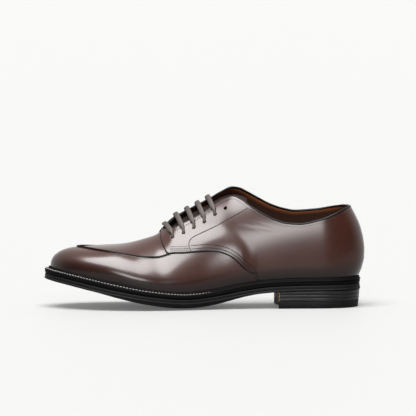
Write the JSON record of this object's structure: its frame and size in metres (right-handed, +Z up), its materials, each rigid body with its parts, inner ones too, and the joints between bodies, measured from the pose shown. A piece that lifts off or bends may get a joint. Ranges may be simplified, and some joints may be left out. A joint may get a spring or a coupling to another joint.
{
  "type": "apron toe derby",
  "caption": "Left lace-up derby shoe with a raised apron seam, open lacing, welted sole and stacked heel.",
  "frame": {"origin": "on the floor, under the centre of the shoe's box", "axes": "+X from the toe to the heel, +Y from the outer to the inner side, +Z up"},
  "size_m": [0.3074, 0.1039, 0.1142],
  "materials": {
    "upper_leather": "polished",
    "tongue_leather": "satin",
    "sock_leather": "matte",
    "welt_leather": "satin",
    "sole_rubber": "satin",
    "heel_leather": "satin",
    "lace_cotton": "matte"
  },
  "bodies": {
    "root": {"upper": "upper_leather", "tongue": "tongue_leather", "insole": "sock_leather", "welt": "welt_leather", "outsole": "sole_rubber", "heel_top_lift": "sole_rubber", "heel_lift_1": "heel_leather", "heel_lift_2": "heel_leather", "heel_lift_3": "heel_leather", "laces": "lace_cotton"}
  },
  "joints": []
}
